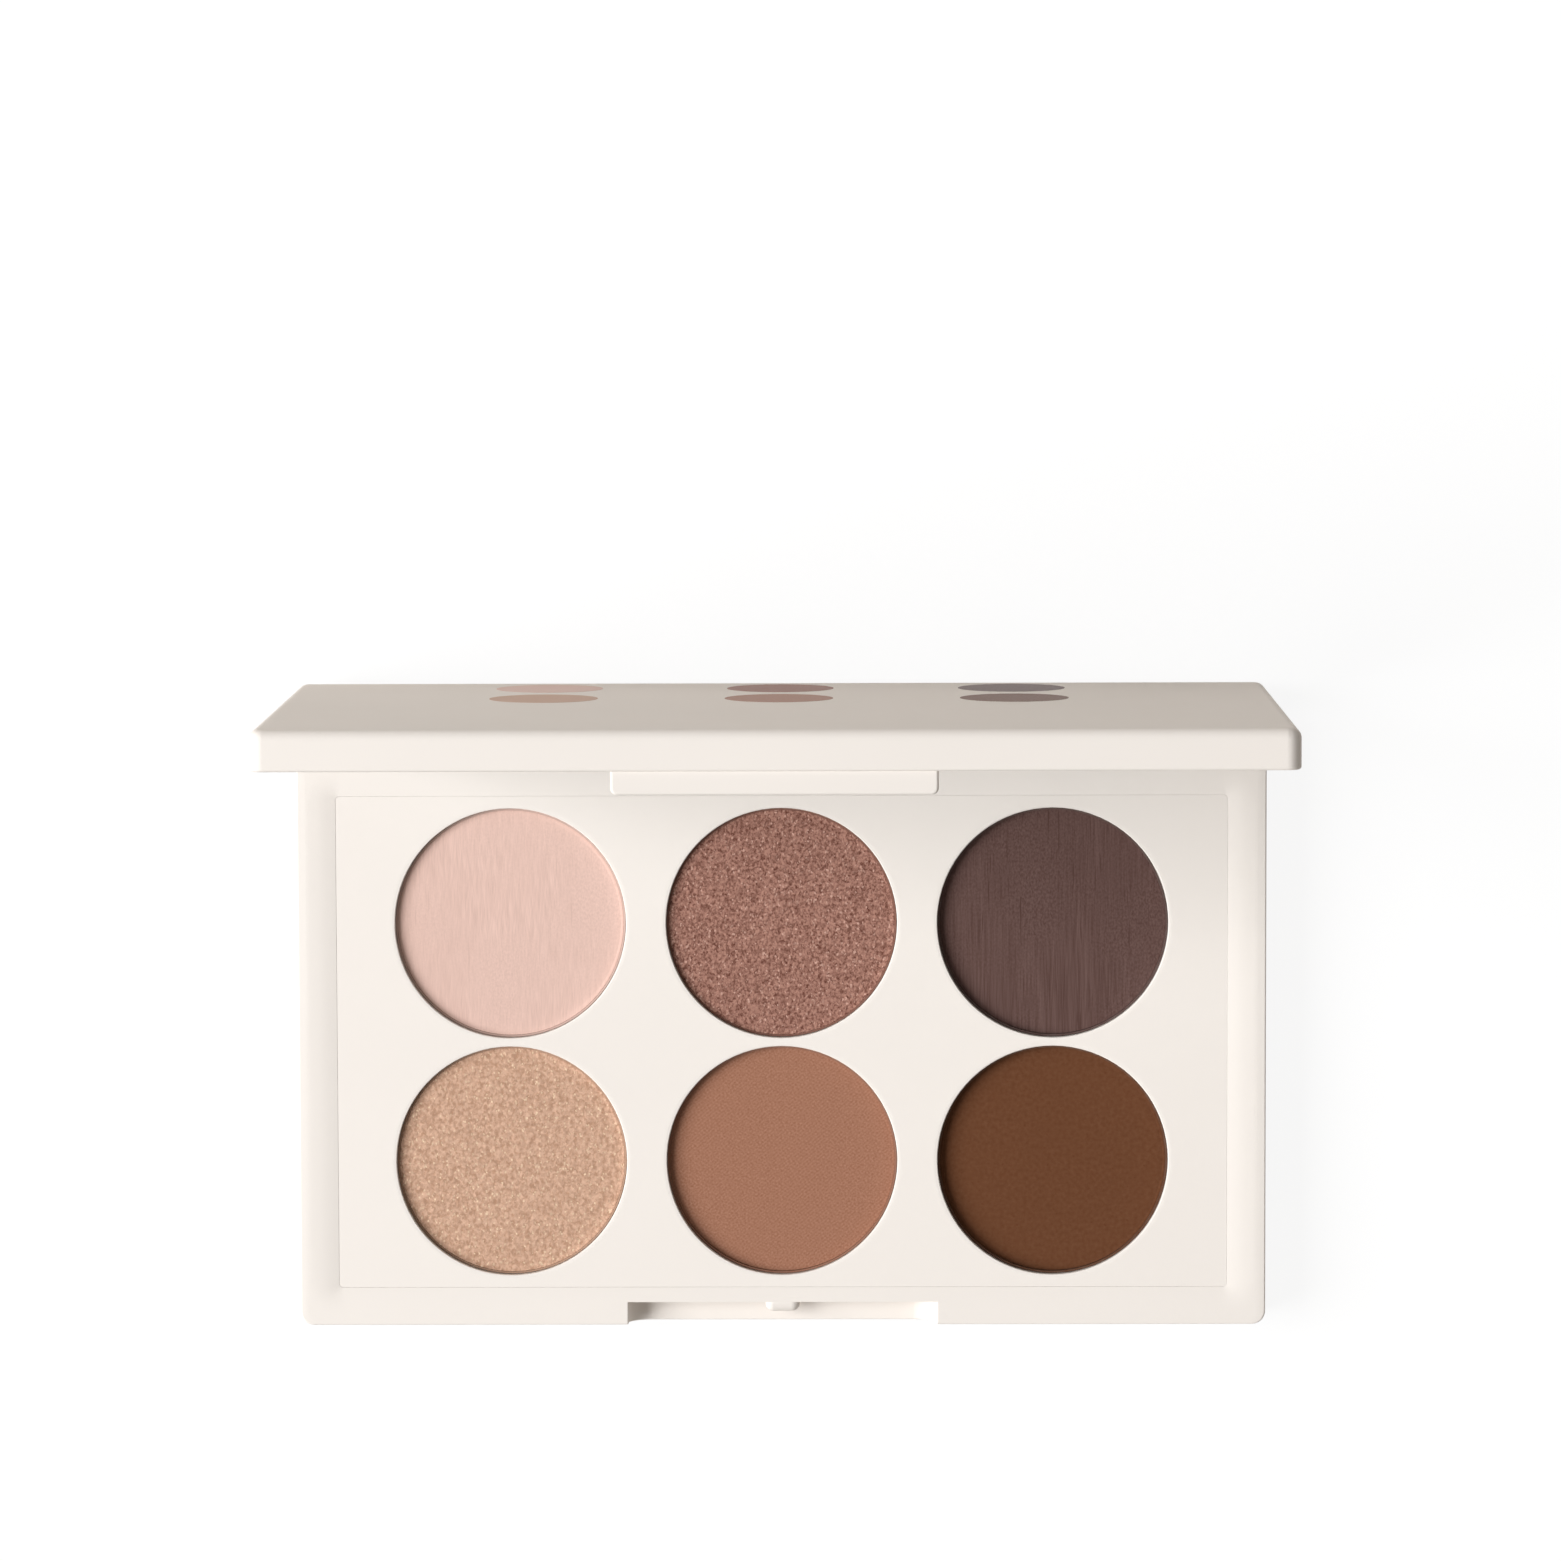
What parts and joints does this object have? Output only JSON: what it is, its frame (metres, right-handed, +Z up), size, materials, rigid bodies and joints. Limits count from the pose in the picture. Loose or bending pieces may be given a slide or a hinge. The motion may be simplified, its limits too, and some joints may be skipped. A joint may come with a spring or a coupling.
{
  "type": "eyeshadow palette",
  "caption": "Flat rectangular makeup compact: round pans of pressed eyeshadow in a plate, under a hinged lid with a mirror inside and a snap latch at the front.",
  "frame": {"origin": "middle of the base's underside, on the surface it rests on", "axes": "+X to the right, along the hinge; +Y from the latch to the hinge; +Z up, out of the pans"},
  "size_m": [0.11, 0.0731, 0.0697],
  "materials": {
    "case_plastic": "warm off-white moulded plastic, satin gloss",
    "pan_tin": "bright tinplate",
    "mirror_glass": "silvered glass with ground edges",
    "tape_film": "double-sided adhesive tape",
    "glue": "hot-melt adhesive dots",
    "pin_steel": "drawn steel wire",
    "powder_pale_pink": "pressed matte powder, pale pink",
    "powder_rose_bronze": "pressed shimmer powder, rosy bronze",
    "powder_plum": "pressed matte powder, dark plum brown",
    "powder_champagne": "pressed shimmer powder, champagne gold",
    "powder_terracotta": "pressed matte powder, warm terracotta",
    "powder_chocolate": "pressed matte powder, chocolate brown"
  },
  "bodies": {
    "base": {"base_shell": "case_plastic", "hinge_pin_left": "pin_steel", "hinge_pin_right": "pin_steel", "pan_back_left": "pan_tin", "pan_back_middle": "pan_tin", "pan_back_right": "pan_tin", "pan_front_left": "pan_tin", "pan_front_middle": "pan_tin", "pan_front_right": "pan_tin", "pan_glue_dots": "glue", "pan_tray": "case_plastic", "powder_back_left": "powder_pale_pink", "powder_back_middle": "powder_rose_bronze", "powder_back_right": "powder_plum", "powder_front_left": "powder_champagne", "powder_front_middle": "powder_terracotta", "powder_front_right": "powder_chocolate"},
    "lid": {"lid_shell": "case_plastic", "mirror": "mirror_glass", "mirror_tape": "tape_film"}
  },
  "joints": [
    {"name": "lid_hinge", "type": "hinge", "parent": "base", "child": "lid", "pos_m": [0, 0.03166, 0.0042], "axis": [-1, 0, 0], "range_deg": [-90, 15]}
  ]
}
